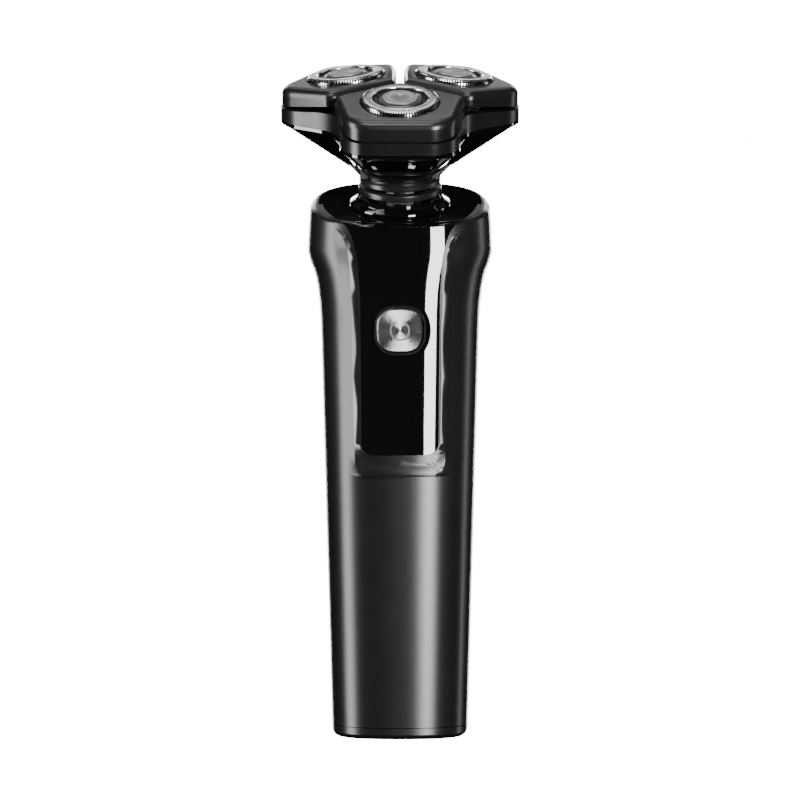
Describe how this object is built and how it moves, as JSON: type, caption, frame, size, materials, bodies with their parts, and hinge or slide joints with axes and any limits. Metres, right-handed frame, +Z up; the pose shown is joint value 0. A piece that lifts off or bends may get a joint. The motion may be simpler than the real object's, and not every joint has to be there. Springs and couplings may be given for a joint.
{
  "type": "electric shaver",
  "caption": "Upright rotary electric shaver: slim handle with power button, tilting lobed head, floating petals with round slotted foils and spinning cutters.",
  "frame": {"origin": "centre of the flat base that the shaver stands on", "axes": "+Z up along the handle, -Y towards the power button, +X to the user's right when facing the button"},
  "size_m": [0.0592, 0.0565, 0.1679],
  "materials": {
    "satin_black": "satin moulded black with a fine grain",
    "gloss_black": "piano black",
    "soft_black": "satin black ribs",
    "head_black": "semi-gloss black",
    "steel": "turned steel",
    "foil_steel": "polished stainless steel",
    "nickel": "nickel strip",
    "brushed_metal": "spun aluminium",
    "chrome_trim": "bright chrome",
    "badge_grey": "satin grey",
    "soft_rubber": "matte rubber",
    "inner_plastic": "plain moulded dark grey",
    "gear_plastic": "natural acetal",
    "board_green": "green solder mask",
    "led_lens": "clear lens",
    "battery_wrap": "shrink wrap",
    "aluminium": "pressed sheet"
  },
  "bodies": {
    "handle": {"housing_front": "satin_black", "housing_back": "satin_black", "front_panel": "gloss_black", "bottom_cap": "satin_black", "foot_screws": "steel", "charge_socket": "steel", "socket_gasket": "soft_rubber", "inner_frame": "inner_plastic", "main_board": "board_green", "board_components": "inner_plastic", "board_screws": "steel", "tact_switch": "inner_plastic", "charge_led": "led_lens", "battery_cell": "battery_wrap", "battery_tabs": "nickel", "motor_case": "steel", "motor_end_cap": "inner_plastic", "motor_bracket": "aluminium", "motor_screws": "steel", "button_bezel": "chrome_trim", "neck_collar": "gloss_black"},
    "button": {"power_button": "brushed_metal", "button_plunger": "soft_rubber"},
    "rotor": {"motor_shaft": "steel", "drive_coupling": "gear_plastic"},
    "gimbal": {"gimbal_ring": "soft_black", "gimbal_pins": "steel"},
    "head": {"neck_ring": "soft_black", "head_bowl": "gloss_black", "shaft_seal": "soft_rubber", "gear_plate": "inner_plastic", "gear_plate_screws": "steel", "gear_cover": "inner_plastic"},
    "centre_gear": {"centre_gear": "gear_plastic"},
    "shaving_unit": {"head_ring": "head_black", "petal_pins": "steel", "cutter_retainer": "inner_plastic"},
    "gear_front": {"cutter_gear_front": "gear_plastic", "drive_spindle_front": "gear_plastic"},
    "gear_right": {"cutter_gear_right": "gear_plastic", "drive_spindle_right": "gear_plastic"},
    "gear_left": {"cutter_gear_left": "gear_plastic", "drive_spindle_left": "gear_plastic"},
    "petal_front": {"petal_front": "head_black"},
    "petal_right": {"petal_right": "head_black"},
    "petal_left": {"petal_left": "head_black"},
    "foil_front": {"foil_front": "foil_steel", "foil_badge_front": "badge_grey"},
    "foil_right": {"foil_right": "foil_steel", "foil_badge_right": "badge_grey"},
    "foil_left": {"foil_left": "foil_steel", "foil_badge_left": "badge_grey"},
    "cutter_front": {"inner_cutter_front": "steel"},
    "cutter_right": {"inner_cutter_right": "steel"},
    "cutter_left": {"inner_cutter_left": "steel"}
  },
  "joints": [
    {"name": "button_press", "type": "slide", "parent": "handle", "child": "button", "axis": [0, 1, 0], "range_m": [0, 0.0004], "stiffness_N_per_m": 1500, "springref_m": -0.0006},
    {"name": "motor_spin", "type": "hinge", "parent": "handle", "child": "rotor", "pos_m": [0, -0.002, 0.133], "axis": [0, -0.3007, 0.9537], "continuous": true},
    {"name": "head_nod", "type": "hinge", "parent": "handle", "child": "gimbal", "pos_m": [0, -0.0032, 0.13681], "axis": [1, 0, 0], "range_deg": [-4, 4], "stiffness_Nm_per_rad": 1.2},
    {"name": "head_rock", "type": "hinge", "parent": "gimbal", "child": "head", "pos_m": [0, -0.0032, 0.13681], "axis": [0, 0.9537, 0.3007], "range_deg": [-4, 4], "stiffness_Nm_per_rad": 1.2},
    {"name": "centre_gear_spin", "type": "hinge", "parent": "head", "child": "centre_gear", "pos_m": [0, -0.00501, 0.14254], "axis": [0, -0.3007, 0.9537], "continuous": true},
    {"name": "unit_lift", "type": "slide", "parent": "head", "child": "shaving_unit", "axis": [0, -0.3007, 0.9537], "range_m": [0, 0.012]},
    {"name": "gear_front_spin", "type": "hinge", "parent": "head", "child": "gear_front", "pos_m": [0, -0.02202, 0.14661], "axis": [0, -0.3007, 0.9537], "continuous": true},
    {"name": "gear_right_spin", "type": "hinge", "parent": "head", "child": "gear_right", "pos_m": [0.01299, -0.00056, 0.15338], "axis": [0, -0.3007, 0.9537], "continuous": true},
    {"name": "gear_left_spin", "type": "hinge", "parent": "head", "child": "gear_left", "pos_m": [-0.01299, -0.00056, 0.15338], "axis": [0, -0.3007, 0.9537], "continuous": true},
    {"name": "petal_front_tilt", "type": "hinge", "parent": "shaving_unit", "child": "petal_front", "pos_m": [0, -0.0319, 0.148], "axis": [-1, 0, 0], "range_deg": [0, 4], "stiffness_Nm_per_rad": 0.12, "springref_deg": -5.73},
    {"name": "petal_right_tilt", "type": "hinge", "parent": "shaving_unit", "child": "petal_right", "pos_m": [0.02078, 0.00244, 0.15883], "axis": [0.5, -0.8259, -0.2604], "range_deg": [0, 4], "stiffness_Nm_per_rad": 0.12, "springref_deg": -5.73},
    {"name": "petal_left_tilt", "type": "hinge", "parent": "shaving_unit", "child": "petal_left", "pos_m": [-0.02078, 0.00244, 0.15883], "axis": [0.5, 0.8259, 0.2604], "range_deg": [0, 4], "stiffness_Nm_per_rad": 0.12, "springref_deg": -5.73},
    {"name": "foil_front_float", "type": "slide", "parent": "petal_front", "child": "foil_front", "axis": [0, 0.4147, -0.91], "range_m": [0, 0.0008], "stiffness_N_per_m": 600, "springref_m": -0.0008},
    {"name": "foil_right_float", "type": "slide", "parent": "petal_right", "child": "foil_right", "axis": [-0.1055, 0.2403, -0.9649], "range_m": [0, 0.0008], "stiffness_N_per_m": 600, "springref_m": -0.0008},
    {"name": "foil_left_float", "type": "slide", "parent": "petal_left", "child": "foil_left", "axis": [0.1055, 0.2403, -0.9649], "range_m": [0, 0.0008], "stiffness_N_per_m": 600, "springref_m": -0.0008},
    {"name": "cutter_front_spin", "type": "hinge", "parent": "foil_front", "child": "cutter_front", "pos_m": [0, -0.02638, 0.15845], "axis": [0, -0.4147, 0.91], "continuous": true},
    {"name": "cutter_right_spin", "type": "hinge", "parent": "foil_right", "child": "cutter_right", "pos_m": [0.01351, -0.00406, 0.16548], "axis": [0.1055, -0.2403, 0.9649], "continuous": true},
    {"name": "cutter_left_spin", "type": "hinge", "parent": "foil_left", "child": "cutter_left", "pos_m": [-0.01351, -0.00406, 0.16548], "axis": [-0.1055, -0.2403, 0.9649], "continuous": true}
  ],
  "couplings": [
    {"joint": "centre_gear_spin", "follows": "motor_spin", "ratio": 1},
    {"joint": "gear_front_spin", "follows": "motor_spin", "ratio": -0.66667},
    {"joint": "gear_right_spin", "follows": "motor_spin", "ratio": -0.66667},
    {"joint": "gear_left_spin", "follows": "motor_spin", "ratio": -0.66667},
    {"joint": "cutter_front_spin", "follows": "motor_spin", "ratio": -0.66667},
    {"joint": "cutter_right_spin", "follows": "motor_spin", "ratio": -0.66667},
    {"joint": "cutter_left_spin", "follows": "motor_spin", "ratio": -0.66667}
  ]
}
